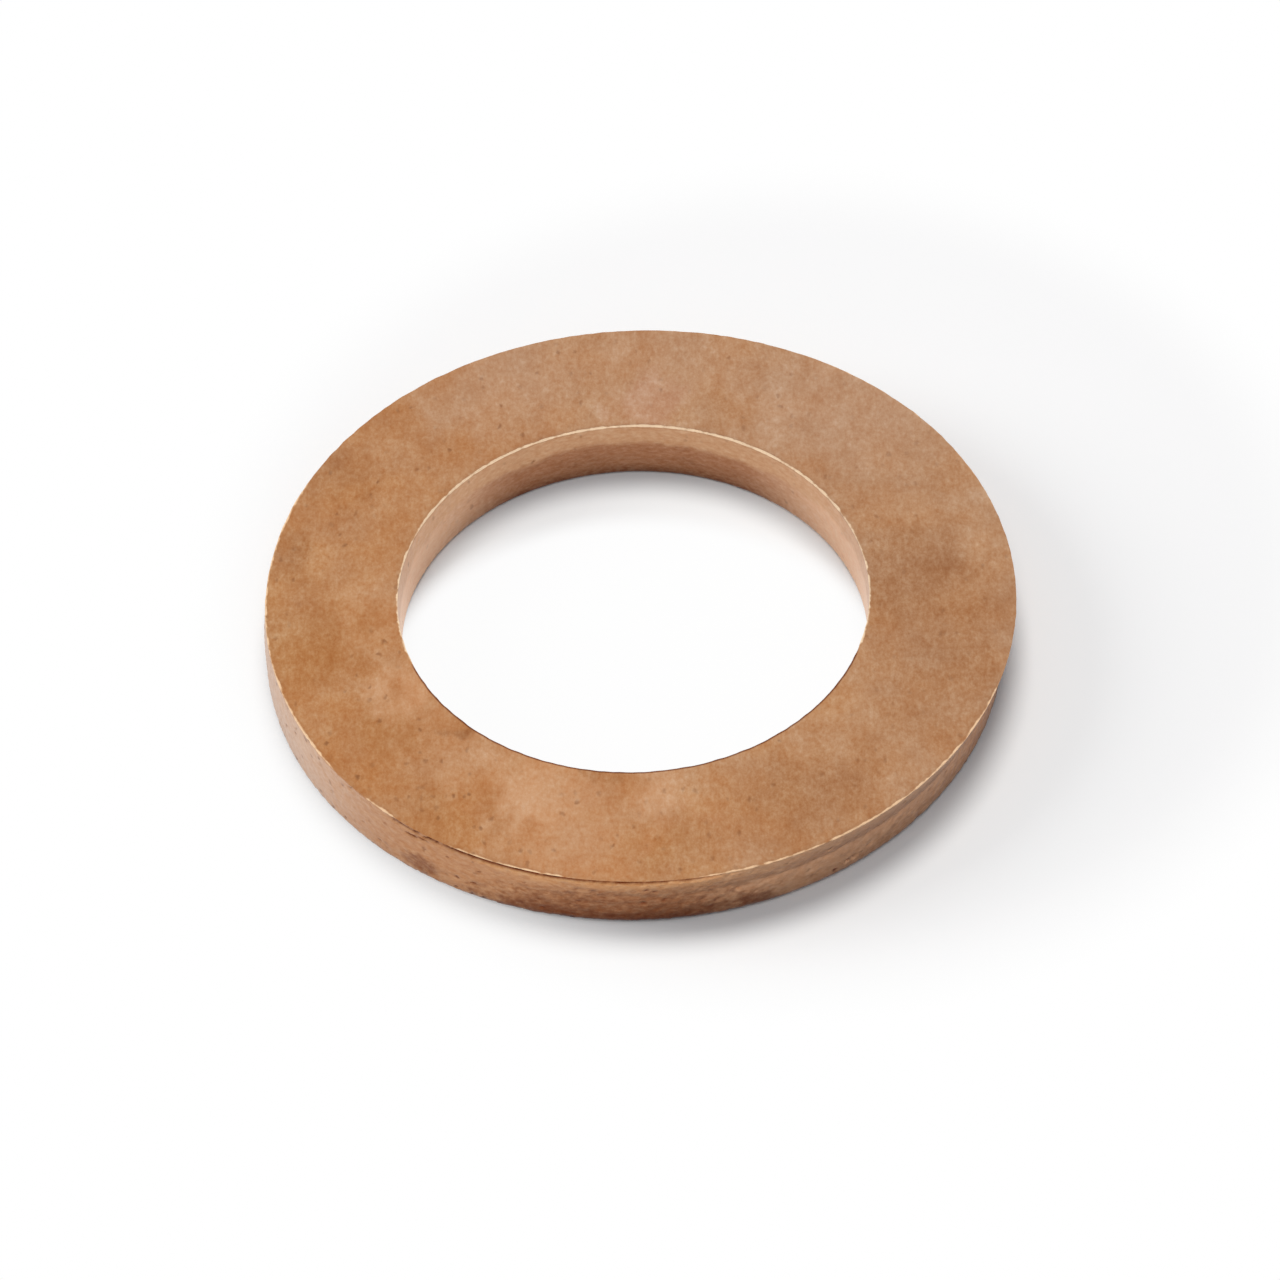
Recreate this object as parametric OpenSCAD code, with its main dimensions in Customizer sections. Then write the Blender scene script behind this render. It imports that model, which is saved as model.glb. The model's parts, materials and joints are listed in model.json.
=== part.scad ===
// Copper crush washer for an M10 bolt, blanked and pierced from soft copper sheet.
// One flat ring that lies on its bottom seal face, with the axis of the bore on Z.
//
// Both edges are sheared from below. Each starts with a rounded lower edge, where the sheet was
// drawn in, and goes on as an upright land, which the tool wiped smooth. Above its land each edge
// broke: the bore opens out a little, and the outer wall flares and leans over to +X, because
// punch and die were not quite in line. Thin burrs stand up round the top of both edges.

/* [Washer] */
// Outer diameter across the top edge
outer_d = 16; // [13:0.1:24]
// Diameter of the bore that the bolt passes through
bore_d = 10; // [5:0.1:12]
// Thickness from the bottom seal face to the top seal face
thickness = 1.45; // [1:0.05:3]

/* [Outer edge] */
// Radius of the rounded lower edge
outer_roll_r = 0.2; // [0.05:0.01:0.4]
// Height of the break, from the top of the land to the top seal face
outer_break_h = 0.6; // [0.3:0.05:0.9]
// Width by which the top edge stands out past the land, all the way round
outer_flare_w = 0.09; // [0.03:0.01:0.2]
// Width by which the break carries the top edge over to +X
outer_lean_w = 0.15; // [0:0.01:0.3]
// Width of the step at the top of the land, where the break starts
outer_step_w = 0.03; // [0.02:0.01:0.1]

/* [Bore edge] */
// Radius of the rounded lower edge
bore_roll_r = 0.12; // [0.05:0.01:0.3]
// Height of the break, from the top of the land to the top seal face
bore_break_h = 0.5; // [0.2:0.05:0.9]
// Width by which the break opens out at the top seal face, all the way round
bore_flare_w = 0.03; // [0.01:0.01:0.1]

/* [Burrs] */
// Height of the burrs above the top seal face
burr_h = 0.035; // [0.01:0.005:0.1]
// Width of the burrs at the foot
burr_w = 0.09; // [0.04:0.01:0.2]

/* [Hidden] */

copper = "#b58459";

// Length by which one solid runs into the next, or a cut runs past a face
overlap = 0.05;

// Depth of the burrs' feet in the sheet
burr_root = 0.01;

// Outer radius at the top edge, at the land and at the foot of the break
top_r = outer_d / 2;
land_r = top_r - outer_flare_w;
foot_r = land_r - outer_step_w;

// Height of the top of the outer land, and of the foot of the break inside it
land_top = thickness - outer_break_h;
foot_z = land_top - overlap;

// Growth in radius, and shift to +X, for each millimetre of height in the outer break
flare_slope = (top_r - foot_r) / (thickness - foot_z);
lean_slope = outer_lean_w / (thickness - foot_z);

// Radius of the outer burr's crest, which keeps the burr's foot inside the wall
crest_r = top_r - burr_root * (1 + flare_slope + lean_slope);

// Bore radius at the land and at the top seal face
bore_r = bore_d / 2;
mouth_r = bore_r + bore_flare_w;

$fn = 180;

// Lower part of the blank: rounded lower edge and upright land
module land() {
    rotate_extrude() {
        translate([0, outer_roll_r])
            square([land_r, land_top - outer_roll_r]);
        square([land_r - outer_roll_r, land_top]);
        translate([land_r - outer_roll_r, outer_roll_r])
            circle(r = outer_roll_r);
    }
}

// Upper part of the blank: a frustum sheared sideways, trimmed flat at the top seal face
module leaning_break() {
    run_h = thickness - foot_z + overlap;
    difference() {
        translate([0, 0, foot_z])
            multmatrix([
                [1, 0, lean_slope, 0],
                [0, 1, 0, 0],
                [0, 0, 1, 0],
            ])
                cylinder(h = run_h, r1 = foot_r, r2 = foot_r + flare_slope * run_h);
        translate([0, 0, thickness])
            cylinder(h = 2 * overlap, r = outer_d);
    }
}

// Burr round the top of the outer edge, upright outside and sloping to the seal face inside
module outer_burr() {
    translate([outer_lean_w, 0, thickness])
        rotate_extrude()
            polygon([
                [crest_r - burr_w, -burr_root],
                [crest_r, -burr_root],
                [crest_r, burr_h],
                [crest_r - burr_w, 0],
            ]);
}

// Burr round the top of the bore, a low cone whose middle the bore takes away
module bore_burr() {
    translate([0, 0, thickness])
        rotate_extrude()
            polygon([
                [0, -burr_root],
                [mouth_r + burr_w, -burr_root],
                [mouth_r + burr_w, 0],
                [mouth_r, burr_h],
                [0, burr_h],
            ]);
}

// Space of the bore: rounded lower edge, land, break and the mouth inside the burr
module bore() {
    rotate_extrude()
        difference() {
            translate([0, -overlap])
                square([bore_r + bore_roll_r, bore_roll_r + overlap]);
            translate([bore_r + bore_roll_r, bore_roll_r])
                circle(r = bore_roll_r);
        }
    translate([0, 0, -overlap])
        cylinder(h = thickness + overlap, r = bore_r);
    translate([0, 0, thickness - bore_break_h])
        cylinder(h = bore_break_h, r1 = bore_r, r2 = mouth_r);
    translate([0, 0, thickness])
        cylinder(h = burr_h + overlap, r = mouth_r);
}

// The whole washer, one solid
module washer() {
    color(copper)
        difference() {
            union() {
                land();
                leaning_break();
                outer_burr();
                bore_burr();
            }
            bore();
        }
}

washer();
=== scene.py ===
"""Copper crush washer: a ring blanked and pierced from soft copper sheet, lying on a pale floor."""

import json
import logging
import math
from dataclasses import dataclass
from enum import Enum
from typing import ClassVar

import bmesh
import bpy
from mathutils import Matrix, Vector, noise


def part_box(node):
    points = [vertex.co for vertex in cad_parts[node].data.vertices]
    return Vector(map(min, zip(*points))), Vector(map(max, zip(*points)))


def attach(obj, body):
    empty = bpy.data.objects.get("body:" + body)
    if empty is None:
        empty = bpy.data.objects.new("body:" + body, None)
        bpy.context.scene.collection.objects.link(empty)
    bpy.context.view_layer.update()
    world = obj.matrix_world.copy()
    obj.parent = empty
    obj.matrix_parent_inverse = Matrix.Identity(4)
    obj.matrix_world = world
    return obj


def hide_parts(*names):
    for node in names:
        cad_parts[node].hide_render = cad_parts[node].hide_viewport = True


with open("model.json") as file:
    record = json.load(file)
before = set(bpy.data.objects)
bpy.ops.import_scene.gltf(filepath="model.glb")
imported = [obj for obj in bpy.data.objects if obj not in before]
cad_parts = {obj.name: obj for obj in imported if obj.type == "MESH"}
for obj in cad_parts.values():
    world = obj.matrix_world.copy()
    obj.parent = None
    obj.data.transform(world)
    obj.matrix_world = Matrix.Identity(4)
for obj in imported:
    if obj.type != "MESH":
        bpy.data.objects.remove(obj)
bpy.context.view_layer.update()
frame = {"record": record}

log = logging.getLogger("washer")

Tree = bpy.types.NodeTree
Socket = bpy.types.NodeSocket

MM = 0.001

# Height within which a place counts as lying on a seal face, in millimetres
LEVEL = 0.001

# Sockets of the Mix node: its factor, its two numbers and its two colours
FACTOR, NUMBER_A, NUMBER_B, COLOUR_A, COLOUR_B = 0, 2, 3, 6, 7

# What a Mix node for colours has, with its output, and a Map Range node with soft ends
COLOURS = {"data_type": "RGBA", "out": 2}
SOFT = {"interpolation_type": "SMOOTHSTEP"}

# Values between which nearly all of a noise texture lies
NOISE_LOW, NOISE_HIGH = 0.3, 0.7


class Mask(Enum):
    """Attributes of the ring's vertices that place its colours, painted shade and painted
    highlights among them.
    """

    WALL = "wall"
    BORE = "bore"
    BAND = "band"
    PALE = "pale"
    BURR = "burr"
    DIRT_AND_SHADE = "dirt_and_shade"


class TarnishAndSheen(Enum):
    """Colours of the tarnish on rolled copper, light to dark, as sRGB hex values. Cream and grey
    are painted sheen.
    """

    CREAM_SHEEN = "#e0ae85"
    GREY_SHEEN = "#c69f82"
    ROSE = "#c28c6e"
    OCHRE = "#b27745"
    BROWN = "#965f37"


# The masks at a place on the ring, and its move outwards and upwards in millimetres
Sheared = tuple[dict[Mask, float], Vector]


def linear(hex_colour: str) -> tuple[float, float, float, float]:
    """Turns an sRGB hex value into a linear colour.

    Args:
        hex_colour: The colour as written, such as "#b58459".

    Returns:
        Red, green, blue and an alpha of 1.
    """
    parts = [int(hex_colour[i:i + 2], 16) / 255 for i in (1, 3, 5)]
    red, green, blue = (
        c / 12.92 if c <= 0.04045 else ((c + 0.055) / 1.055) ** 2.4 for c in parts
    )
    return red, green, blue, 1.0


def per_mm(size: float) -> float:
    """Scale of a texture on Object coordinates whose features are this many millimetres wide."""
    return 1 / (size * MM)


def add_node(
    tree: Tree, kind: str, inputs: dict | None = None, out: int | str = 0, **settings: object,
) -> Socket | None:
    """Adds a node to a tree, with its settings and links.

    Args:
        tree: The node tree of a material or of the world.
        kind: The node's type after "ShaderNode", such as "TexNoise".
        inputs: For each input socket, by name or number, a constant or the socket that feeds it.
        out: The output socket that is wanted, by name or number.
        settings: Properties of the node itself.

    Returns:
        The wanted output socket, or None for a node that has no outputs.
    """
    node = tree.nodes.new("ShaderNode" + kind)
    for name, value in settings.items():
        setattr(node, name, value)
    for socket, value in (inputs or {}).items():
        if isinstance(value, Socket):
            tree.links.new(value, node.inputs[socket])
        else:
            node.inputs[socket].default_value = value
    return node.outputs[out] if node.outputs else None


def smooth(low: float, high: float, value: float) -> float:
    """Rises softly from 0 at low to 1 at high."""
    share = min(max((value - low) / (high - low), 0.0), 1.0)
    return share * share * (3 - 2 * share)


def turn_between(angle: float, middle: float) -> float:
    """Degrees from one direction to another, the short way round."""
    return abs((angle - middle + 180) % 360 - 180)


def rough_noise(place: Vector, size: float, layers: int = 3, fade: float = 0.7) -> float:
    """Noise with finer noise on top of it, about -1 to 1.

    Args:
        place: The place, in millimetres.
        size: Width of the coarsest bumps, in millimetres.
        layers: Number of layers, each half as wide as the one before.
        fade: How fast the finer layers weaken.

    Returns:
        The noise at that place.
    """
    halving = 2.0
    return noise.fractal(place / size, fade, halving, layers)


def draw_for(centre: Vector) -> float:
    """A number for the cell of a pattern that has this centre, the same in each run."""
    spread = 9.7
    return noise.cell(centre * spread)


@dataclass(frozen=True)
class BurrArc:
    """An arc of an edge where the burr stands up, in degrees anticlockwise from +X."""

    middle: float
    half_arc: float
    share: float
    fade: float = 4.0

    def height_at(self, angle: float) -> float:
        """Share of the burr's full height at an angle, soft at the ends of the arc."""
        away = turn_between(angle, self.middle)
        return self.share * smooth(self.half_arc + self.fade, self.half_arc - self.fade, away)


@dataclass(frozen=True)
class WallMark:
    """A crease, crack, pit, brown smudge or patch of painted shade on the outer wall.

    Its place and size are in degrees along the wall and in millimetres up it. It may climb by so
    many millimetres for each degree, and its fray is how much noise breaks its outline.
    """

    OUTSIDE: ClassVar[float] = 1.25
    CORE: ClassVar[float] = 0.45

    middle: float
    half_arc: float
    height: float
    half_tall: float
    depth: float
    shade: float
    climb: float = 0.0
    fray: float = 0.5

    def weight_at(self, angle: float, height: float, ragged: float) -> float:
        """Share of the mark at a place on the wall.

        Args:
            angle: Direction of the place, in degrees.
            height: Height of the place above the bottom seal face.
            ragged: Noise that breaks the mark's outline.

        Returns:
            1 in the middle of the mark and 0 outside it.
        """
        away = (angle - self.middle + 180) % 360 - 180
        along = away / self.half_arc
        up = (height - self.height - self.climb * away) / self.half_tall
        return smooth(self.OUTSIDE, self.CORE, math.hypot(along, up) + self.fray * ragged)


@dataclass(frozen=True)
class RingSection:
    """Section of the ring from the bore to the outer edge, in millimetres."""

    land_r: float
    top_r: float
    lean_w: float
    bore_r: float
    top_z: float
    burr_h: float
    outer_roll_r: float = 0.2
    outer_break_h: float = 0.6
    bore_roll_r: float = 0.12
    bore_break_h: float = 0.5
    bore_flare_w: float = 0.03
    burr_w: float = 0.09
    fuzz_w: float = 0.07
    roll_segments: int = 5
    burr_gap: float = 0.03
    wall_gap: float = 0.052
    face_gap: float = 0.42

    @classmethod
    def from_frame(cls) -> "RingSection":
        """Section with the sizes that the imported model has."""
        low, high = (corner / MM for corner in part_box("washer"))
        mounts = {mount["name"]: mount for mount in frame["record"]["mounts"]}
        top_z = mounts["top_seal_face"]["pos_m"][2] / MM
        return cls(
            land_r=-low.x,
            top_r=high.y,
            lean_w=high.x - high.y,
            bore_r=mounts["bore"]["dims"]["r_mm"],
            top_z=top_z,
            burr_h=high.z - top_z,
        )

    @property
    def mouth_r(self) -> float:
        """Radius of the bore at the top seal face."""
        return self.bore_r + self.bore_flare_w

    @property
    def middle_r(self) -> float:
        """Radius half way across the seal faces."""
        return (self.bore_r + self.top_r) / 2

    @property
    def land_top(self) -> float:
        """Height of the top of the outer land."""
        return self.top_z - self.outer_break_h

    @property
    def bore_land_top(self) -> float:
        """Height of the top of the bore's land."""
        return self.top_z - self.bore_break_h

    def ring_gap(self, place: Vector) -> float:
        """Gap between rings of vertices, finest on the burrs and coarse on the flat faces.

        Args:
            place: Middle of an edge of the section.

        Returns:
            The gap, in millimetres.
        """
        if place.z > self.top_z + LEVEL:
            return self.burr_gap
        on_face = place.z < LEVEL or place.z > self.top_z - LEVEL
        return self.face_gap if on_face else self.wall_gap

    def draw(self, mesh: bmesh.types.BMesh) -> None:
        """Draws the outline of the section in the XZ plane.

        Args:
            mesh: An empty mesh, which gets the outline's vertices and edges.
        """
        corners = (
            (self.land_r, 0),
            (self.land_r, self.land_top),
            (self.top_r, self.top_z),
            (self.top_r, self.top_z + self.burr_h),
            (self.top_r - self.burr_w, self.top_z),
            (self.top_r - self.burr_w - self.fuzz_w, self.top_z),
            (self.mouth_r + self.burr_w + self.fuzz_w, self.top_z),
            (self.mouth_r + self.burr_w, self.top_z),
            (self.mouth_r, self.top_z + self.burr_h),
            (self.mouth_r, self.top_z),
            (self.bore_r, self.bore_land_top),
            (self.bore_r, 0),
        )
        verts = [mesh.verts.new((radius, 0, height)) for radius, height in corners]
        mesh.faces.new(verts)
        for corner, radius in ((verts[0], self.outer_roll_r), (verts[-1], self.bore_roll_r)):
            bmesh.ops.bevel(
                mesh, geom=[corner], offset=radius, offset_type="OFFSET", affect="VERTICES",
                segments=self.roll_segments, profile=0.5, material=-1,
            )
        for edge in list(mesh.edges):
            middle = (edge.verts[0].co + edge.verts[1].co) / 2
            cuts = round(edge.calc_length() / self.ring_gap(middle)) - 1
            if cuts > 0:
                bmesh.ops.subdivide_edges(mesh, edges=[edge], cuts=cuts)
        bmesh.ops.delete(mesh, geom=list(mesh.faces), context="FACES_ONLY")


@dataclass(frozen=True)
class RaggedBurrs:
    """Thin ragged burrs round the top of both edges, in millimetres, painted bright as exposed
    copper with painted highlights.
    """

    section: RingSection
    # The arcs set how tall the burrs stand and how bright they are painted: exposed copper with
    # painted highlights, such as the short glints on the left front
    outer_arcs: tuple[BurrArc, ...] = (
        BurrArc(184, 32, 0.88),
        BurrArc(226, 5, 0.85),
        BurrArc(249, 10, 0.85),
        BurrArc(308, 31, 0.9),
        BurrArc(40, 26, 0.55),
        BurrArc(90, 180, 0.3),
    )
    # The bore's burr is painted brightest at the back, where its edge catches the light: painted
    # highlight
    bore_arcs: tuple[BurrArc, ...] = (
        BurrArc(90, 62, 1.0),
        BurrArc(90, 112, 0.85),
        BurrArc(270, 180, 0.2),
    )
    jag_size: float = 0.25
    jag_layers: int = 4
    jag_fade: float = 0.8
    jag_mean: float = 0.86
    jag_swing: float = 0.42
    least_share: float = 0.05
    sway: float = 0.014
    bright_w: float = 0.02
    bright_growth: float = 0.07
    # Rim of painted shade on the face beside the bore's edge: its width, its darkest width, and the
    # burr shares between which it fades in
    rim_w: float = 0.07
    rim_core_w: float = 0.01
    rim_unshaded_share: float = 0.7
    rim_shaded_share: float = 0.3

    # Darkening mask of an unmarked seal face, below 0 so that the torn grain never darkens it
    clean: float = -0.4

    def share_at(self, place: Vector, angle: float, outer: bool) -> float:
        """Share of its full height that the ragged burr has.

        Args:
            place: A place on or near the burr.
            angle: Its direction, in degrees.
            outer: Whether it belongs to the outer edge.

        Returns:
            The share, from 0 to 1.
        """
        arcs = self.outer_arcs if outer else self.bore_arcs
        share = max(arc.height_at(angle) for arc in arcs)
        flat = Vector((place.x, place.y, 0))
        jag = rough_noise(flat, self.jag_size, self.jag_layers, self.jag_fade)
        return min(max(share * (self.jag_mean + self.jag_swing * jag), self.least_share), 1.0)

    def shear(self, place: Vector, radius: float, angle: float, outer: bool) -> Sheared:
        """Burr at the top of an edge, and the face beside it, darkened as painted shade where the
        bore's burr is low.

        Args:
            place: A place on the top seal face or on a burr.
            radius: Its distance from the axis.
            angle: Its direction, in degrees.
            outer: Whether it belongs to the outer edge.

        Returns:
            The masks there, and the move outwards and upwards.
        """
        size = self.section
        share = self.share_at(place, angle, outer)
        lift = (place.z - size.top_z) / size.burr_h
        away = abs(radius - (size.top_r if outer else size.mouth_r))
        beside = smooth(self.bright_w + self.bright_growth * share, 0, away)
        sideways = self.sway * noise.noise(place / self.jag_size) * lift
        rim = 0.0
        if not outer:
            low = smooth(self.rim_unshaded_share, self.rim_shaded_share, share)
            rim = low * smooth(self.rim_w, self.rim_core_w, away)
        masks = {Mask.BURR: share * beside, Mask.DIRT_AND_SHADE: (1.0 - self.clean) * rim + self.clean}
        return masks, Vector((sideways, 0, size.burr_h * lift * (share - 1)))


@dataclass(frozen=True)
class TornWall:
    """Sheared outer wall: a smooth band below the lip, torn grain, pits and marks, with painted
    shade and painted light in its colour.

    Sizes are in millimetres, directions in degrees, and the rest are shares.
    """

    section: RingSection
    burrs: RaggedBurrs
    # Two creases under the lip and a crack, dug in and darkened as painted shadow under the lip; a
    # brown stain low on the left front; brown smudges low on the front, which also paint the shade
    # at its rounded foot; a darker front, tarnish and painted shade of the side turned from the
    # light; and painted shade low on the right
    marks: tuple[WallMark, ...] = (
        WallMark(250, 25, 1.37, 0.055, 0.05, 1.0),
        WallMark(268, 14, 1.385, 0.045, 0.04, 1.0),
        WallMark(234, 2.6, 1.23, 0.045, 0.04, 1.0, climb=0.02),
        WallMark(234.5, 4.6, 0.45, 0.3, 0.0, 0.6, fray=0.25),
        WallMark(258, 13, 0.2, 0.28, 0.0, 0.45, fray=0.25),
        WallMark(273, 9, 0.18, 0.26, 0.0, 0.45, fray=0.25),
        WallMark(287, 4, 0.28, 0.28, 0.0, 0.5, fray=0.25),
        WallMark(266, 24, 0.4, 0.8, 0.0, 0.6, fray=0.25),
        WallMark(326, 28, 0.25, 0.55, 0.0, 0.2, fray=0.25),
    )
    tear_size: float = 0.14
    tear_fade: float = 0.8
    tear_depth: float = 0.012
    ragged_size: float = 0.2
    wave_size: float = 1.1
    wave_height: float = 0.1

    # Smooth band below the lip: where it is, how its foot fades out, and how smooth it is
    band_middle: float = 285.0
    band_arc: float = 58.0
    band_core: float = 0.5
    band_h: float = 0.3
    band_spare: float = 0.06
    band_fray: float = 0.06
    band_soft: float = 0.05
    band_smoothness: float = 0.7
    band_cover: float = 0.6

    # Pits: their spacing, how the draws, the lower edge and the waves deepen them, and their size
    pit_size: float = 0.24
    pit_flatness: float = 2.0
    pit_depth: float = 0.03
    pit_start: float = 0.4
    pit_full: float = 1.0
    pit_edge: float = 0.5
    pit_wave: float = 0.7
    pit_r: float = 0.2
    pit_growth: float = 0.2
    pit_core_r: float = 0.08
    pit_fray: float = 0.12

    # Darkening in the pits, and painted shade that grows towards the bottom over the rounded lower
    # edge and along its foot
    pit_darkening: float = 0.95
    edge_top: float = 0.4
    edge_low: float = 0.05
    edge_shade: float = 0.2
    foot_top: float = 0.18
    foot_low: float = 0.06
    foot_shade: float = 0.4

    # Pale arcs on the left and the right, which are painted reflection of light, and the lip
    # painted bright as exposed copper with a painted highlight
    pale_middle: float = 185.0
    pale_arc: float = 49.0
    right_middle: float = 306.0
    right_arc: float = 34.0
    right_pale: float = 0.35
    arc_core: float = 0.4
    lip_h: float = 0.05
    lip_low: float = 0.08
    lip_high: float = 0.02
    lip_bright: float = 0.6

    def shear(self, place: Vector, angle: float) -> Sheared:
        """Digs the torn grain, the pits and the marks into the wall.

        Args:
            place: A place on the outer wall.
            angle: Its direction, in degrees.

        Returns:
            The masks there, and the move outwards and upwards.
        """
        top_z = self.section.top_z
        wave = rough_noise(Vector((place.x, place.y, 0)), self.wave_size)
        ragged = rough_noise(place, self.ragged_size)
        band = self._band(place, angle, wave, ragged)
        grain = rough_noise(place, self.tear_size, fade=self.tear_fade)
        below_lip = smooth(top_z, top_z - self.lip_h, place.z)
        dig = self.tear_depth * (1.0 - self.band_smoothness * band) * grain * below_lip
        edge = smooth(self.edge_top, self.edge_low, place.z)
        pit = self._pit(place, edge, wave, ragged) * (1.0 - self.band_cover * band)
        dig += self.pit_depth * pit
        foot = smooth(self.foot_top, self.foot_low, place.z)
        # Darker in the pits, and painted shade over the lower edge, the foot and most marks
        clean = (1.0 - self.pit_darkening * pit) * (1.0 - self.edge_shade * edge)
        clean *= 1.0 - self.foot_shade * foot
        for mark in self.marks:
            weight = mark.weight_at(angle, place.z, ragged)
            dig += mark.depth * weight
            clean *= 1.0 - mark.shade * weight
        # Pale arcs: painted reflection of light, full on the left and weaker on the right
        left, right = (
            smooth(arc, self.arc_core * arc, turn_between(angle, middle))
            for middle, arc in (
                (self.pale_middle, self.pale_arc), (self.right_middle, self.right_arc),
            )
        )
        lip = smooth(top_z - self.lip_low, top_z - self.lip_high, place.z)
        masks = {
            Mask.WALL: 1.0,
            Mask.BAND: band,
            Mask.PALE: max(left, self.right_pale * right),
            Mask.BURR: self.lip_bright * (lip * self.burrs.share_at(place, angle, True)),
            Mask.DIRT_AND_SHADE: 1.0 - clean,
        }
        return masks, Vector((-dig, 0, 0))

    def _band(self, place: Vector, angle: float, wave: float, ragged: float) -> float:
        """Share of the smooth band at a place, whose foot is wavy and ragged.

        Args:
            place: A place on the outer wall.
            angle: Its direction, in degrees.
            wave: Noise that lifts and lowers the foot.
            ragged: Noise that breaks the foot.

        Returns:
            1 on the band and 0 below it.
        """
        away = turn_between(angle, self.band_middle)
        reach = smooth(self.band_arc, self.band_core * self.band_arc, away)
        foot = (
            self.section.top_z + self.band_spare - (self.band_h + self.band_spare) * reach
            + self.wave_height * wave + self.band_fray * ragged
        )
        return smooth(-self.band_soft, self.band_soft, place.z - foot)

    def _pit(self, place: Vector, edge: float, wave: float, ragged: float) -> float:
        """Share of a pit's full depth at a place. Pits crowd together and along the lower edge.

        Args:
            place: A place on the outer wall.
            edge: Share of the rounded lower edge there.
            wave: Noise that crowds the pits.
            ragged: Noise that breaks their outlines.

        Returns:
            1 in the middle of a deep pit and 0 outside the pits.
        """
        flat = Vector((place.x, place.y, self.pit_flatness * place.z))
        gaps, centres = noise.voronoi(flat / self.pit_size)
        chance = draw_for(centres[0]) + self.pit_edge * edge + self.pit_wave * wave
        deep = smooth(self.pit_start, self.pit_full, chance)
        radius = self.pit_r + self.pit_growth * deep
        return smooth(radius, self.pit_core_r, gaps[0] + self.pit_fray * ragged) * deep


@dataclass(frozen=True)
class PiercedWall:
    """Wall of the bore, smoother than the outer one: land, break and specks, with painted shade
    under the burr and at its foot, and pale ends of painted reflection.

    Sizes are in millimetres, directions in degrees, and the rest are shares.
    """

    section: RingSection
    burrs: RaggedBurrs
    tear_size: float = 0.14
    tear_fade: float = 0.8
    tear_depth: float = 0.004

    # Waves of the line between land and break, taken from another level than the outer wall's
    wave_size: float = 1.1
    wave_height: float = 0.13
    wave_level: float = 4.0
    band_soft: float = 0.09

    speck_gap: float = 0.5
    speck_r: float = 0.12
    speck_core_r: float = 0.05
    speck_start: float = 0.3
    speck_full: float = 0.7
    speck_dirt: float = 0.6
    # Painted shadow under the burr, where it stands, and painted shade at the foot of the back of
    # the bore
    seam_low: float = 0.08
    seam_high: float = 0.025
    seam_shade: float = 0.4
    foot_top: float = 0.45
    foot_low: float = 0.05
    foot_middle: float = 90.0
    foot_arc: float = 55.0
    foot_core: float = 25.0
    foot_shade: float = 0.5

    # Cosine of the direction from +X or -X: the two ends of the wall, left and right, are pale as
    # painted reflection
    pale_start: float = 0.45
    pale_full: float = 0.95

    def shear(self, place: Vector, angle: float) -> Sheared:
        """Gives the wall its faint grain, and marks its break and specks, the painted shade of its
        seam and foot, and its pale ends of painted reflection.

        Args:
            place: A place on the bore's wall.
            angle: Its direction, in degrees.

        Returns:
            The masks there, and the move outwards and upwards.
        """
        size = self.section
        wave = rough_noise(Vector((place.x, place.y, self.wave_level)), self.wave_size)
        above = place.z - size.bore_land_top - self.wave_height * wave
        grain = rough_noise(place, self.tear_size, fade=self.tear_fade)
        gaps, centres = noise.voronoi(place / self.speck_gap)
        speck = smooth(self.speck_r, self.speck_core_r, gaps[0])
        speck *= smooth(self.speck_start, self.speck_full, draw_for(centres[0]))
        seam = smooth(size.top_z - self.seam_low, size.top_z - self.seam_high, place.z)
        seam *= self.burrs.share_at(place, angle, False)
        foot = smooth(self.foot_top, self.foot_low, place.z)
        foot *= smooth(self.foot_arc, self.foot_core, turn_between(angle, self.foot_middle))
        sideways = abs(math.cos(math.radians(angle)))
        masks = {
            Mask.WALL: 1.0,
            Mask.BAND: smooth(-self.band_soft, self.band_soft, above),
            Mask.PALE: smooth(self.pale_start, self.pale_full, sideways),
            Mask.DIRT_AND_SHADE: max(
                self.speck_dirt * speck, self.seam_shade * seam, self.foot_shade * foot,
            ),
        }
        return masks, Vector((self.tear_depth * grain, 0, 0))


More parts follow.
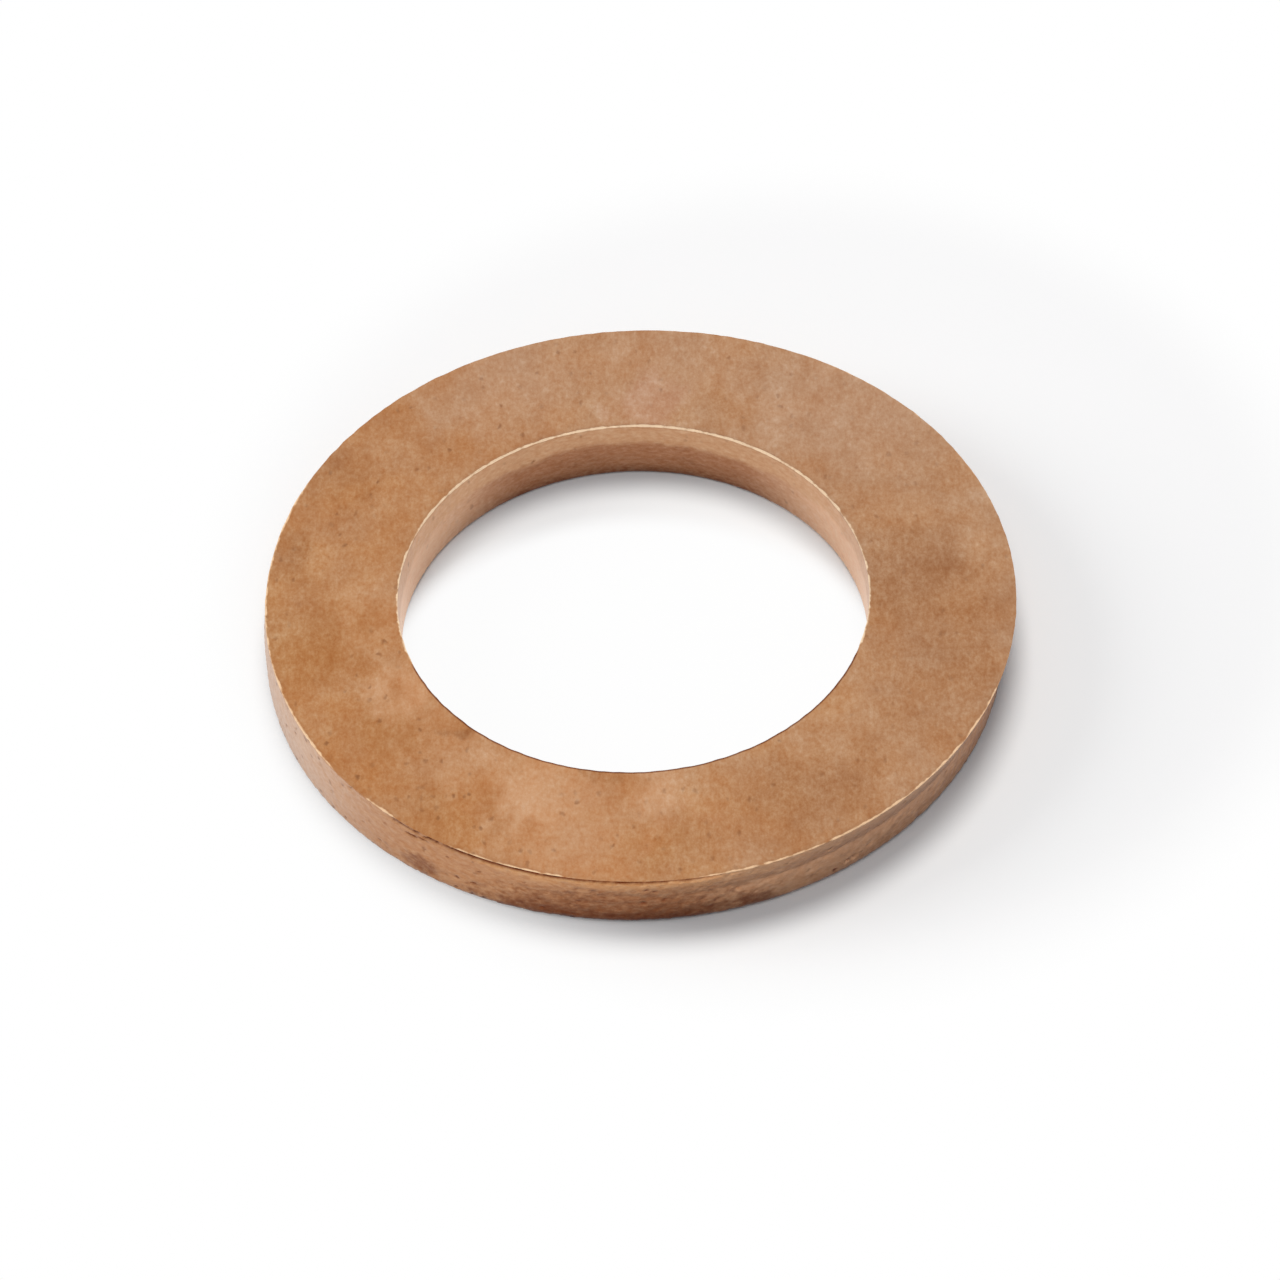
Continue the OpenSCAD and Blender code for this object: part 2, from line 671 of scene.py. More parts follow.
@dataclass
class CopperRing:
    """The washer itself: the section spun round the axis of the bore, with its sheared edges."""

    section: RingSection
    burrs: RaggedBurrs
    outer_wall: TornWall
    bore_wall: PiercedWall
    name: str = "copper_ring"
    arcs: int = 12
    arc_steps: int = 98
    merge_gap: float = 0.0001
    sharp_angle: float = 38.0

    def build(self) -> bpy.types.Object:
        """Builds the ring.

        Returns:
            The finished object, in metres at the origin.
        """
        ring = bmesh.new()
        self.section.draw(ring)
        axis = {"cent": (0, 0, 0), "axis": (0, 0, 1)}
        bmesh.ops.spin(
            ring, geom=ring.verts[:] + ring.edges[:],
            angle=math.tau / self.arcs, steps=self.arc_steps, **axis,
        )
        bmesh.ops.spin(
            ring, geom=ring.verts[:] + ring.edges[:] + ring.faces[:],
            angle=math.tau * (1 - 1 / self.arcs), steps=self.arcs - 1, use_duplicate=True, **axis,
        )
        bmesh.ops.remove_doubles(ring, verts=ring.verts, dist=self.merge_gap)
        bmesh.ops.recalc_face_normals(ring, faces=ring.faces)
        self._shear(ring)
        bmesh.ops.scale(ring, vec=(MM, MM, MM), verts=ring.verts)
        mesh = bpy.data.meshes.new(self.name)
        ring.to_mesh(mesh)
        ring.free()
        mesh.shade_smooth()
        mesh.set_sharp_from_angle(angle=math.radians(self.sharp_angle))
        piece = bpy.data.objects.new(self.name, mesh)
        bpy.context.scene.collection.objects.link(piece)
        return piece

    def _shear(self, ring: bmesh.types.BMesh) -> None:
        """Gives the spun ring its burrs, walls and lean, and keeps the masks for its copper.

        Args:
            ring: The spun ring, in millimetres.
        """
        layers = {mask: ring.verts.layers.float.new(mask.value) for mask in Mask}
        for vert in ring.verts:
            radius = math.hypot(vert.co.x, vert.co.y)
            outward = Vector((vert.co.x / radius, vert.co.y / radius, 0))
            angle = math.degrees(math.atan2(vert.co.y, vert.co.x)) % 360
            outer = radius > self.section.middle_r
            if vert.co.z > self.section.top_z - LEVEL:
                masks, move = self.burrs.shear(vert.co, radius, angle, outer)
            elif vert.co.z < LEVEL:
                masks, move = {Mask.DIRT_AND_SHADE: self.burrs.clean}, Vector((0, 0, 0))
            elif outer:
                masks, move = self.outer_wall.shear(vert.co, angle)
            else:
                masks, move = self.bore_wall.shear(vert.co, angle)
            lean = self._lean(radius, vert.co.z)
            vert.co += outward * move.x + Vector((lean, 0, move.z))
            vert[layers[Mask.BORE]] = 0.0 if outer else 1.0
            for mask, value in masks.items():
                vert[layers[mask]] = value

    def _lean(self, radius: float, height: float) -> float:
        """Shift to +X of a place, which grows up the outer break and fades across the top face.

        Args:
            radius: Distance of the place from the axis of the bore.
            height: Height of the place above the bottom seal face.

        Returns:
            The shift, in millimetres.
        """
        size = self.section
        up = min(max((height - size.land_top) / size.outer_break_h, 0.0), 1.0)
        across = smooth(size.mouth_r + size.burr_w, size.top_r - size.burr_w, radius)
        return size.lean_w * up * across

    def dress(self, piece: bpy.types.Object, copper: bpy.types.Material) -> None:
        """Gives the ring its copper and fixes it to the frame.

        Args:
            piece: The ring.
            copper: The finished material.
        """
        piece.data.materials.append(copper)
        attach(piece, "root")
        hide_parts("washer")
        triangles = sum(len(face.vertices) - 2 for face in piece.data.polygons)
        log.info("%s: %d triangles", piece.name, triangles)


@dataclass(frozen=True)
class Patch:
    """A patch of tarnish, some of it painted sheen, on the seal faces, with soft ragged edges, in
    millimetres.
    """

    OUTSIDE: ClassVar[float] = 1.4
    CORE: ClassVar[float] = 0.2

    x: float
    y: float
    radius: float
    tarnish: TarnishAndSheen
    strength: float


@dataclass(frozen=True)
class Specks:
    """Small specks on the seal faces: their colour, the draws that make one, and the strongest."""

    colour: str
    start: float
    full: float
    most: float


@dataclass(frozen=True)
class BlankedCopper:
    """Soft annealed copper sheet, rolled, blanked and left to tarnish.

    Rolling and annealing leave a satin face with a fine grain under a thin tarnish, which takes
    away more blue than red: thin places look cream, thick ones orange brown; the cream and grey
    patches and the cool side are painted sheen. Shearing leaves smooth copper on the walls, whose
    pale sides are painted reflection; the walls are darker in their pits and where painted shade
    is laid on, and the thin burrs are painted bright, with painted highlights.
    """

    name: str = "annealed_copper_sheet_blanked"
    warm: str = "#be8251"
    # Tint of the side of the faces painted with sheen
    cool: str = "#b98b67"
    torn: str = "#c18d65"
    # Pale side of the outer wall: painted reflection of light
    pale: str = "#d9b79d"
    # Smooth band below the lip: a smoother zone of the wall, painted lighter, which is painted
    # light too
    band: str = "#cf9a6c"
    bore_low: str = "#af7b5a"
    bore_high: str = "#c99b76"
    # Ends of the bore: painted reflection of light, lightest low down where it offsets the floor's
    # shadow
    bore_side_low: str = "#f2c6a2"
    bore_side_high: str = "#dbad88"
    # Burrs and lip: exposed copper, painted brighter as highlights too
    bright: str = "#ffdab0"
    bore_bright: str = "#ffe3c0"
    # Colour that stains and painted shade darken the copper towards
    dirt_and_shade: str = "#874b30"
    face_roughness: float = 0.44
    roughness_swing: float = 0.05
    wall_roughness: float = 0.36

    # Widths of the patterns, in millimetres. The grain and the streaks of the rolls are some
    # hundredths of a millimetre wide on the real sheet, too fine to show, and are drawn coarser.
    cloud_size: float = 3.0
    mottle_size: float = 0.7
    cool_border_size: float = 1.3
    fleck_size: float = 0.24
    streak_size: float = 0.1
    grain_size: float = 0.09
    speck_size: float = 0.22
    torn_size: float = 0.16
    bump_height: float = 0.012
    wave_size: float = 1.8
    wave_height: float = 0.12

    # Stretch of the coordinates: grain and streaks run along Y, torn grain lies flat on the wall
    roll_stretch: tuple[float, float, float] = (1, 0.7, 1)
    streak_stretch: tuple[float, float, float] = (1, 0.3, 1)
    tear_stretch: tuple[float, float, float] = (1, 1, 2)

    # Shares of the second pattern in each blend of two, and the tarnish that the blend makes
    mottle_share: float = 0.5
    streak_share: float = 0.3
    grain_share: float = 0.75
    fine_share: float = 0.63
    tone_low: float = 0.35
    tone_high: float = 0.65
    face_thick: float = 1.26
    face_thin: float = 0.62
    wall_thick: float = 1.18
    wall_thin: float = 0.84

    # The tint turns from warm to cool in this direction, in degrees, over this many millimetres:
    # painted sheen on the cool side
    cool_turn: float = 30.0
    cool_reach: float = 7.0
    cool_drift: float = 0.75
    cool_fade: float = 1.4

    # Darkening by stains and painted shade in the torn wall, bright places along the burrs with
    # painted highlights, and pale sides of the walls of painted reflection
    stain_and_shade_tear: float = 0.45
    stain_and_shade_start: float = -0.155
    stain_and_shade_full: float = 0.845
    stain_and_shade_most: float = 0.9
    bright_fray: float = 0.3
    bright_start: float = 0.48
    bright_full: float = 0.95
    pale_most: float = 0.8
    bore_side_most: float = 0.9

    # Dark specks, light specks that are painted glints, fewer on the cool side, and patches, the
    # cream and grey ones painted sheen
    dark_specks: Specks = Specks("#6f3b1c", 0.5, 0.85, 0.55)
    glint_specks: Specks = Specks("#efcba5", 0.25, 0.05, 0.25)
    speck_shake: float = 0.2
    speck_edge: float = 0.3
    speck_core: float = 0.1
    cool_specks: float = 0.35
    patch_drift: float = 2.2
    patches: tuple[Patch, ...] = (
        Patch(-4.8, -2.6, 0.8, TarnishAndSheen.CREAM_SHEEN, 0.5),
        Patch(-5.4, -0.6, 1.3, TarnishAndSheen.CREAM_SHEEN, 0.15),
        Patch(-3.6, -4.4, 1.2, TarnishAndSheen.CREAM_SHEEN, 0.2),
        Patch(-2.2, -5.4, 1.1, TarnishAndSheen.CREAM_SHEEN, 0.45),
        Patch(0.4, -5.6, 0.9, TarnishAndSheen.CREAM_SHEEN, 0.45),
        Patch(-1.6, -6.9, 1.6, TarnishAndSheen.CREAM_SHEEN, 0.35),
        Patch(-7.0, -0.9, 1.5, TarnishAndSheen.OCHRE, 0.6),
        Patch(-5.4, -3.4, 0.8, TarnishAndSheen.OCHRE, 0.4),
        Patch(-4.2, -6.3, 0.9, TarnishAndSheen.OCHRE, 0.35),
        Patch(0.8, -7.3, 0.9, TarnishAndSheen.OCHRE, 0.45),
        Patch(3.7, -5.9, 1.6, TarnishAndSheen.BROWN, 0.42),
        Patch(5.7, 0.5, 1.5, TarnishAndSheen.BROWN, 0.46),
        Patch(6.9, -3.2, 2.2, TarnishAndSheen.BROWN, 0.25),
        Patch(-7.3, 1.4, 0.8, TarnishAndSheen.BROWN, 0.35),
        Patch(-6.3, 3.6, 0.9, TarnishAndSheen.BROWN, 0.3),
        Patch(2.2, 5.4, 0.7, TarnishAndSheen.OCHRE, 0.4),
        Patch(0.5, 5.8, 0.8, TarnishAndSheen.ROSE, 0.5),
        Patch(4.6, 5.4, 2.4, TarnishAndSheen.GREY_SHEEN, 0.38),
        Patch(0.8, 7.0, 2.0, TarnishAndSheen.GREY_SHEEN, 0.25),
        Patch(-2.8, 6.6, 2.0, TarnishAndSheen.GREY_SHEEN, 0.35),
        Patch(6.6, -0.9, 1.8, TarnishAndSheen.BROWN, 0.22),
        Patch(-3.75, -3.6, 0.3, TarnishAndSheen.BROWN, 0.5),
        Patch(-0.9, -5.2, 0.3, TarnishAndSheen.BROWN, 0.25),
    )

    def build(self) -> bpy.types.Material:
        """Builds the copper's node tree.

        Returns:
            The material.
        """
        material = bpy.data.materials.new(self.name)
        material.use_nodes = True
        tree = material.node_tree
        tree.nodes.clear()
        place = add_node(tree, "TexCoord", out="Object")
        rolled, drawn_out, lying = (
            add_node(tree, "Mapping", {"Vector": place, "Scale": stretch})
            for stretch in (self.roll_stretch, self.streak_stretch, self.tear_stretch)
        )
        masks = {
            mask: add_node(tree, "Attribute", out="Fac", attribute_name=mask.value)
            for mask in Mask
        }
        grain, streaks = (
            add_node(
                tree, "TexNoise",
                {"Vector": along, "Scale": per_mm(size), "Detail": 3.0, "Roughness": 0.7},
            )
            for along, size in ((rolled, self.grain_size), (drawn_out, self.streak_size))
        )
        face, dark, light = self._face(tree, place, rolled, grain, streaks)
        wall, torn = self._wall(tree, lying, masks)
        skin = add_node(
            tree, "Mix", {FACTOR: masks[Mask.WALL], COLOUR_A: face, COLOUR_B: wall}, **COLOURS,
        )
        for specks, cover in ((self.glint_specks, light), (self.dark_specks, dark)):
            skin = add_node(
                tree, "Mix", {FACTOR: cover, COLOUR_A: skin, COLOUR_B: linear(specks.colour)},
                **COLOURS,
            )
        satin = add_node(
            tree, "MapRange",
            {"Value": grain, "From Min": NOISE_LOW, "From Max": NOISE_HIGH,
             "To Min": self.face_roughness - self.roughness_swing,
             "To Max": self.face_roughness + self.roughness_swing},
        )
        roughness = add_node(
            tree, "Mix", {FACTOR: masks[Mask.WALL], NUMBER_A: satin, NUMBER_B: self.wall_roughness},
        )
        pitted = add_node(tree, "Math", {0: grain, 1: dark}, operation="SUBTRACT")
        relief = add_node(tree, "Mix", {FACTOR: masks[Mask.WALL], NUMBER_A: pitted, NUMBER_B: torn})
        shader = add_node(
            tree, "BsdfPrincipled",
            {"Base Color": self._darkened_and_highlighted(tree, skin, torn, grain, masks), "Metallic": 1.0,
             "Roughness": roughness, "Normal": self._bump(tree, rolled, relief)},
        )
        add_node(tree, "OutputMaterial", {"Surface": shader})
        return material

    def _face(
        self, tree: Tree, place: Socket, rolled: Socket, grain: Socket, streaks: Socket,
    ) -> tuple[Socket, Socket, Socket]:
        """Colour of the rolled seal faces: clouds, mottle, flecks, grain, patches and specks, with
        painted sheen in the cream and grey patches and on the cool side.

        The tarnish darkens a tint by raising it to a power, which is the tarnish's thickness.

        Args:
            tree: The material's node tree.
            place: Object coordinates.
            rolled: The same, drawn out along the direction in which the sheet was rolled.
            grain: The fine grain.
            streaks: The fine streaks that the rolls left.

        Returns:
            The colour, the dark specks and the light ones, which are painted glints.
        """
        clouds, mottle, flecks = (
            add_node(
                tree, "TexNoise",
                {"Vector": rolled, "Scale": per_mm(size), "Detail": 2.0, "Roughness": 0.55},
            )
            for size in (self.cloud_size, self.mottle_size, self.fleck_size)
        )
        broad = add_node(
            tree, "Mix", {FACTOR: self.mottle_share, NUMBER_A: clouds, NUMBER_B: mottle},
        )
        woven = add_node(
            tree, "Mix", {FACTOR: self.streak_share, NUMBER_A: grain, NUMBER_B: streaks},
        )
        fine = add_node(tree, "Mix", {FACTOR: self.grain_share, NUMBER_A: flecks, NUMBER_B: woven})
        tone = add_node(tree, "Mix", {FACTOR: self.fine_share, NUMBER_A: broad, NUMBER_B: fine})
        thickness = add_node(
            tree, "MapRange",
            {"Value": tone, "From Min": self.tone_low, "From Max": self.tone_high,
             "To Min": self.face_thick, "To Max": self.face_thin},
        )
        coolness = self._coolness(tree, place)
        tint = add_node(
            tree, "Mix",
            {FACTOR: coolness, COLOUR_A: linear(self.warm), COLOUR_B: linear(self.cool)}, **COLOURS,
        )
        tint = self._patched(tree, place, tint, mottle.node.outputs["Color"])
        shade = add_node(tree, "Gamma", {"Color": tint, "Gamma": thickness})
        shake = self.speck_shake * MM
        shaken = add_node(
            tree, "VectorMath",
            {0: flecks.node.outputs["Color"], 1: (shake, shake, shake), 2: rolled},
            operation="MULTIPLY_ADD",
        )
        cells = add_node(
            tree, "TexVoronoi", {"Vector": shaken, "Scale": per_mm(self.speck_size)},
        ).node.outputs
        dot = add_node(
            tree, "MapRange",
            {"Value": cells["Distance"], "From Min": self.speck_edge, "From Max": self.speck_core},
        )
        worn_in = add_node(
            tree, "MapRange", {"Value": coolness, "To Min": 1.0, "To Max": self.cool_specks},
        )
        mark = add_node(tree, "Math", {0: dot, 1: worn_in}, operation="MULTIPLY")
        covers = []
        for specks in (self.dark_specks, self.glint_specks):
            some = add_node(
                tree, "MapRange",
                {"Value": cells["Color"], "From Min": specks.start, "From Max": specks.full,
                 "To Max": specks.most},
            )
            covers.append(add_node(tree, "Math", {0: mark, 1: some}, operation="MULTIPLY"))
        return shade, *covers

    def _coolness(self, tree: Tree, place: Socket) -> Socket:
        """Slow turn of the faces' tint from warm to cool across the ring, with a ragged border:
        painted sheen on the side towards the back and the right.

        Args:
            tree: The material's node tree.
            place: Object coordinates.

        Returns:
            0 where the tint is warm and 1 where it is cool.
        """
        turn = math.radians(self.cool_turn)
        across = add_node(
            tree, "VectorMath", {0: place, 1: (math.cos(turn), math.sin(turn), 0)}, out="Value",
            operation="DOT_PRODUCT",
        )
        cool_border = add_node(
            tree, "TexNoise",
            {"Vector": place, "Scale": per_mm(self.cool_border_size), "Detail": 3.0, "Roughness": 0.5},
        )
        drift = self.cool_drift * self.cool_reach * MM
        spread = add_node(
            tree, "MapRange",
            {"Value": cool_border, "From Min": NOISE_LOW, "From Max": NOISE_HIGH, "To Min": -drift,
             "To Max": drift},
        )
        hue = add_node(tree, "Math", {0: across, 1: spread}, operation="ADD")
        fade = self.cool_fade * self.cool_reach * MM
        return add_node(tree, "MapRange", {"Value": hue, "From Min": -fade, "From Max": fade})

    def _patched(self, tree: Tree, place: Socket, tint: Socket, mottle: Socket) -> Socket:
        """Lays the patches of tarnish and of painted sheen over the faces' tint.

        Args:
            tree: The material's node tree.
            place: Object coordinates.
            tint: The tint under the patches.
            mottle: Noise in three channels, which makes the patches ragged.

        Returns:
            The tint with its patches.
        """
        ragged = add_node(tree, "VectorMath", {0: mottle, 1: (0.5, 0.5, 0.5)}, operation="SUBTRACT")
        drift = self.patch_drift * MM
        moved = add_node(
            tree, "VectorMath", {0: ragged, 1: (drift, drift, 0), 2: place},
            operation="MULTIPLY_ADD",
        )
        level = add_node(tree, "VectorMath", {0: moved, 1: (1, 1, 0)}, operation="MULTIPLY")
        for patch in self.patches:
            away = add_node(
                tree, "VectorMath", {0: level, 1: (patch.x * MM, patch.y * MM, 0)}, out="Value",
                operation="DISTANCE",
            )
            cover = add_node(
                tree, "MapRange",
                {"Value": away, "From Min": patch.OUTSIDE * patch.radius * MM,
                 "From Max": patch.CORE * patch.radius * MM, "To Max": patch.strength}, **SOFT,
            )
            tint = add_node(
                tree, "Mix", {FACTOR: cover, COLOUR_A: tint, COLOUR_B: linear(patch.tarnish.value)},
                **COLOURS,
            )
        return tint

    def _wall(self, tree: Tree, lying: Socket, masks: dict[Mask, Socket]) -> tuple[Socket, Socket]:
        """Colour of the sheared walls: torn outer wall with its smooth band, the cleaner bore, and
        pale sides of painted reflection on both.

        Args:
            tree: The material's node tree.
            lying: Object coordinates, in which the torn grain lies flat.
            masks: The ring's masks.

        Returns:
            The colour, and the torn grain for the bump.
        """
        torn = add_node(
            tree, "TexNoise",
            {"Vector": lying, "Scale": per_mm(self.torn_size), "Detail": 4.0, "Roughness": 0.65},
        )
        outer, bore, bore_side = (
            add_node(
                tree, "Mix",
                {FACTOR: masks[Mask.BAND], COLOUR_A: linear(low), COLOUR_B: linear(high)},
                **COLOURS,
            )
            for low, high in (
                (self.torn, self.band),
                (self.bore_low, self.bore_high),
                (self.bore_side_low, self.bore_side_high),
            )
        )
        sides = []
        for dull, pale, most in (
            (outer, linear(self.pale), self.pale_most), (bore, bore_side, self.bore_side_most),
        ):
            cover = add_node(tree, "Math", {0: masks[Mask.PALE], 1: most}, operation="MULTIPLY")
            sides.append(add_node(
                tree, "Mix", {FACTOR: cover, COLOUR_A: dull, COLOUR_B: pale}, **COLOURS,
            ))
        tint = add_node(
            tree, "Mix", {FACTOR: masks[Mask.BORE], COLOUR_A: sides[0], COLOUR_B: sides[1]},
            **COLOURS,
        )
        thickness = add_node(
            tree, "MapRange",
            {"Value": torn, "From Min": NOISE_LOW, "From Max": NOISE_HIGH,
             "To Min": self.wall_thick, "To Max": self.wall_thin},
        )
        wall = add_node(tree, "Gamma", {"Color": tint, "Gamma": thickness})
        return wall, torn

    def _darkened_and_highlighted(
        self, tree: Tree, skin: Socket, torn: Socket, grain: Socket, masks: dict[Mask, Socket],
    ) -> Socket:
        """Colour of the copper, darkened by stains and painted shade, with its burrs painted
        bright.

        Args:
            tree: The material's node tree.
            skin: The colour of the faces and walls.
            torn: The torn grain, which breaks up the darkening.
            grain: The fine grain, which frays the bright places.
            masks: The ring's masks.

        Returns:
            The colour.
        """
        # Darkening by stains and by painted shade, broken up by the torn grain
        depth = add_node(
            tree, "Math", {0: torn, 1: -self.stain_and_shade_tear, 2: masks[Mask.DIRT_AND_SHADE]},
            operation="MULTIPLY_ADD",
        )
        stain_and_shade = add_node(
            tree, "MapRange",
            {"Value": depth, "From Min": self.stain_and_shade_start, "From Max": self.stain_and_shade_full,
             "To Max": self.stain_and_shade_most}, **SOFT,
        )
        stained_and_shaded = add_node(
            tree, "Mix", {FACTOR: stain_and_shade, COLOUR_A: skin, COLOUR_B: linear(self.dirt_and_shade)},
            blend_type="MULTIPLY", **COLOURS,
        )
        # Burrs painted bright: exposed copper with painted highlights, frayed by the grain
        frayed = add_node(
            tree, "Math", {0: grain, 1: self.bright_fray, 2: masks[Mask.BURR]},
            operation="MULTIPLY_ADD",
        )
        bare_and_highlight = add_node(
            tree, "MapRange",
            {"Value": frayed, "From Min": self.bright_start, "From Max": self.bright_full}, **SOFT,
        )
        bare_and_highlight_colour = add_node(
            tree, "Mix",
            {FACTOR: masks[Mask.BORE], COLOUR_A: linear(self.bright),
             COLOUR_B: linear(self.bore_bright)}, **COLOURS,
        )
        return add_node(tree, "Mix", {FACTOR: bare_and_highlight, COLOUR_A: stained_and_shaded, COLOUR_B: bare_and_highlight_colour}, **COLOURS)

    def _bump(self, tree: Tree, rolled: Socket, relief: Socket) -> Socket:
        """Normals of the surface: slow waves in the soft sheet, and the fine relief on them.

        Args:
            tree: The material's node tree.
            rolled: Object coordinates, drawn out along the direction of rolling.
            relief: The fine relief.

        Returns:
            The normals.
        """
        waves = add_node(
            tree, "TexNoise", {"Vector": rolled, "Scale": per_mm(self.wave_size), "Detail": 1.0},
        )
        swell = add_node(
            tree, "Bump", {"Height": waves, "Strength": 0.5, "Distance": self.wave_height * MM},
        )
        return add_node(
            tree, "Bump",
            {"Height": relief, "Strength": 0.5, "Distance": self.bump_height * MM, "Normal": swell},
        )


@dataclass(frozen=True)
class SoftLamp:
    """A round softbox that faces the washer, with angles in degrees and lengths in metres."""

    name: str
    azimuth: float
    elevation: float
    size: float
    share: float
    distance: float = 0.5
    colour: str = "#fffdfa"

    def build(self) -> None:
        """Builds the lamp. Its share is the part of full white that it alone gives a white floor.

        The metal mirrors the white tent instead of the lamp, so its colours stay as written.
        """
        turn, rise = math.radians(self.azimuth), math.radians(self.elevation)
        level = math.cos(rise)
        towards = Vector((math.cos(turn) * level, math.sin(turn) * level, math.sin(rise)))
        lamp = bpy.data.lights.new(self.name, "AREA")
        lamp.shape = "DISK"
        lamp.size = self.size
        lamp.energy = self.share * math.pi ** 2 * self.distance ** 2 / math.sin(rise)
        lamp.color = linear(self.colour)[:3]
        stand = bpy.data.objects.new(self.name, lamp)
        stand.visible_glossy = False
        stand.location = towards * self.distance
        stand.rotation_euler = towards.to_track_quat("Z", "Y").to_euler()
        bpy.context.scene.collection.objects.link(stand)


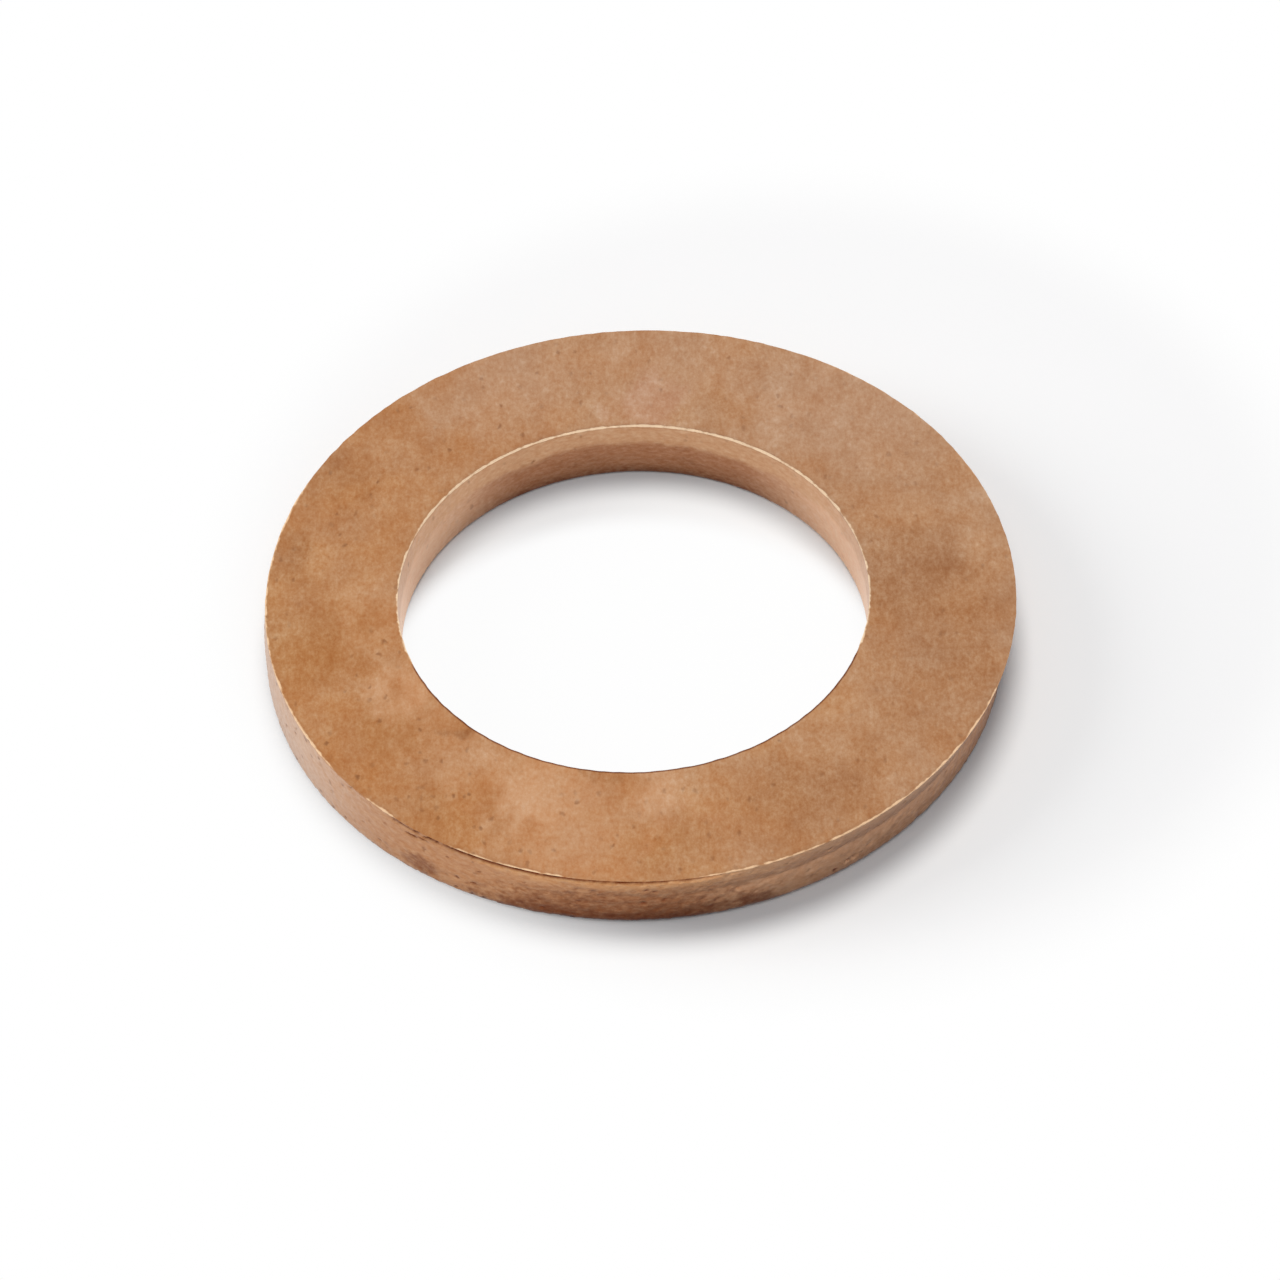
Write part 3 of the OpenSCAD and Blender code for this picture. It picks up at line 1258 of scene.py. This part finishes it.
@dataclass
class Studio:
    """Pale paper floor, soft light all round and three softboxes.

    The floor's side is in metres. Its places and radii are in millimetres: outside the white radius
    the paper shows plain white, inside the shaded one it shows the washer's shadow, and in the hole
    the other way round.
    """

    floor_side: float = 0.6
    floor_colour: str = "#fafafa"
    floor_glow: float = 0.04
    # The glow is centred off the axis: it paints away more of the shadow in front and on the left
    # than behind and on the right
    shade_middle: tuple[float, float] = (3.2, 2.1)
    shaded_r: float = 10.15
    white_r: float = 13.0
    hole_r: float = 5.2
    # In the hole the paper glows white except near the back: painted light that takes away the
    # shadow there
    hole_middle: tuple[float, float] = (0.0, -2.4)
    hole_white_r: float = 5.6
    hole_shaded_r: float = 6.45
    hole_glow: float = 0.9
    tent_low: float = 0.8
    tent_high: float = 1.06
    fill: float = 0.18
    fill_colour: str = "#e4eeff"
    white: str = "#ffffff"
    lamps: tuple[SoftLamp, ...] = (
        SoftLamp("back_softbox", 90, 72, 0.26, 0.54),
        SoftLamp("front_softbox", 270, 65, 0.28, 0.2),
        SoftLamp("left_softbox", 170, 26, 0.3, 0.17),
    )

    def build(self) -> None:
        """Builds the floor, the world and the lamps."""
        scene = bpy.context.scene
        scene.view_settings.view_transform = "Standard"
        sheet = bmesh.new()
        bmesh.ops.create_grid(sheet, x_segments=1, y_segments=1, size=self.floor_side / 2)
        mesh = bpy.data.meshes.new("paper_floor")
        sheet.to_mesh(mesh)
        sheet.free()
        floor = bpy.data.objects.new("paper_floor", mesh)
        floor.data.materials.append(self._paper())
        scene.collection.objects.link(floor)
        self._light_tent(scene)
        for lamp in self.lamps:
            lamp.build()

    def _seen(self, tree: Tree) -> Socket:
        """1 for rays that show the background: from the camera, from gloss and through glass.

        A ray that a matt surface has scattered doesn't count, so the background lights nothing.

        Args:
            tree: The node tree that asks.

        Returns:
            The socket with that value.
        """
        path = add_node(tree, "LightPath").node.outputs
        shown = path["Is Camera Ray"]
        for ray in ("Is Glossy Ray", "Is Transmission Ray"):
            shown = add_node(tree, "Math", {0: shown, 1: path[ray]}, operation="MAXIMUM")
        return add_node(
            tree, "Math", {0: shown, 1: path["Diffuse Depth"]}, operation="SUBTRACT",
            use_clamp=True,
        )

    def _paper(self) -> bpy.types.Material:
        """Matt white paper, which keeps the shadow near the washer and runs out to plain white.

        Returns:
            The material.
        """
        material = bpy.data.materials.new("matt_white_paper")
        material.use_nodes = True
        tree = material.node_tree
        tree.nodes.clear()
        place = add_node(tree, "TexCoord", out="Object")
        from_shade, from_hole = (
            add_node(
                tree, "VectorMath", {0: place, 1: tuple(along * MM for along in (*middle, 0))},
                out="Value", operation="DISTANCE",
            )
            for middle in (self.shade_middle, self.hole_middle)
        )
        glow = add_node(
            tree, "MapRange",
            {"Value": from_shade, "From Min": self.shaded_r * MM, "From Max": self.white_r * MM,
             "To Min": self.floor_glow}, **SOFT,
        )
        hole_glow = add_node(
            tree, "MapRange",
            {"Value": from_hole, "From Min": self.hole_shaded_r * MM,
             "From Max": self.hole_white_r * MM, "To Max": self.hole_glow}, **SOFT,
        )
        from_axis = add_node(tree, "VectorMath", {0: place}, out="Value", operation="LENGTH")
        in_hole = add_node(tree, "Math", {0: from_axis, 1: self.hole_r * MM}, operation="LESS_THAN")
        hole_white = add_node(tree, "Math", {0: hole_glow, 1: in_hole}, operation="MULTIPLY")
        brighter = add_node(tree, "Math", {0: glow, 1: hole_white}, operation="MAXIMUM")
        share = add_node(tree, "Math", {0: brighter, 1: self._seen(tree)}, operation="MULTIPLY")
        paper = add_node(tree, "BsdfDiffuse", {"Color": linear(self.floor_colour)})
        white = add_node(tree, "Emission", {"Strength": 1.0})
        mixed = add_node(tree, "MixShader", {0: share, 1: paper, 2: white})
        add_node(tree, "OutputMaterial", {"Surface": mixed})
        return material

    def _light_tent(self, scene: bpy.types.Scene) -> None:
        """White tent all round, which lights the floor less than it shows.

        Args:
            scene: The scene that gets the world.
        """
        world = bpy.data.worlds.new("light_tent")
        world.use_nodes = True
        tree = world.node_tree
        tree.nodes.clear()
        seen = self._seen(tree)
        colour = add_node(
            tree, "Mix",
            {FACTOR: seen, COLOUR_A: linear(self.fill_colour), COLOUR_B: linear(self.white)},
            **COLOURS,
        )
        towards = add_node(tree, "TexCoord")
        height = add_node(tree, "SeparateXYZ", {"Vector": towards}, out="Z")
        shaded = add_node(
            tree, "MapRange", {"Value": height, "To Min": self.tent_low, "To Max": self.tent_high},
        )
        gloss = add_node(tree, "LightPath").node.outputs["Is Glossy Ray"]
        shown = add_node(tree, "Mix", {FACTOR: gloss, NUMBER_A: 1.0, NUMBER_B: shaded})
        strength = add_node(tree, "Mix", {FACTOR: seen, NUMBER_A: self.fill, NUMBER_B: shown})
        tent = add_node(tree, "Background", {"Color": colour, "Strength": strength})
        add_node(tree, "OutputWorld", {"Surface": tent})
        scene.world = world


@dataclass(frozen=True)
class StudioCamera:
    """Camera in front of the washer and above it, turned a little on its own axis.

    Its distance and aim are in millimetres of the scene, its lens and sensor in millimetres of the
    camera, and its nearest view in metres.
    """

    distance: float = 128.0
    elevation: float = 47.531
    roll: float = -1.937
    lens: float = 167.5
    sensor: float = 36.0
    nearest: float = 0.01
    aim: tuple[float, float, float] = (0.11, 0.009, 0.006)

    def build(self) -> None:
        """Builds the camera and makes it the scene's."""
        rise = math.radians(self.elevation)
        back = Vector((0, -math.cos(rise), math.sin(rise)))
        place = Matrix.Translation((Vector(self.aim) + back * self.distance) * MM)
        tilt = Matrix.Rotation(math.pi / 2 - rise, 4, "X")
        roll = Matrix.Rotation(math.radians(self.roll), 4, "Z")
        data = bpy.data.cameras.new("studio_camera")
        data.lens = self.lens
        data.sensor_width = self.sensor
        data.clip_start = self.nearest
        camera = bpy.data.objects.new("studio_camera", data)
        camera.matrix_world = place @ tilt @ roll
        bpy.context.scene.collection.objects.link(camera)
        bpy.context.scene.camera = camera


def main() -> None:
    """Builds the studio, the camera and the washer, in that order."""
    logging.basicConfig(level=logging.INFO, format="%(name)s: %(message)s")
    Studio().build()
    StudioCamera().build()
    section = RingSection.from_frame()
    burrs = RaggedBurrs(section)
    ring = CopperRing(section, burrs, TornWall(section, burrs), PiercedWall(section, burrs))
    piece = ring.build()
    ring.dress(piece, BlankedCopper().build())


if __name__ == "__main__":
    main()
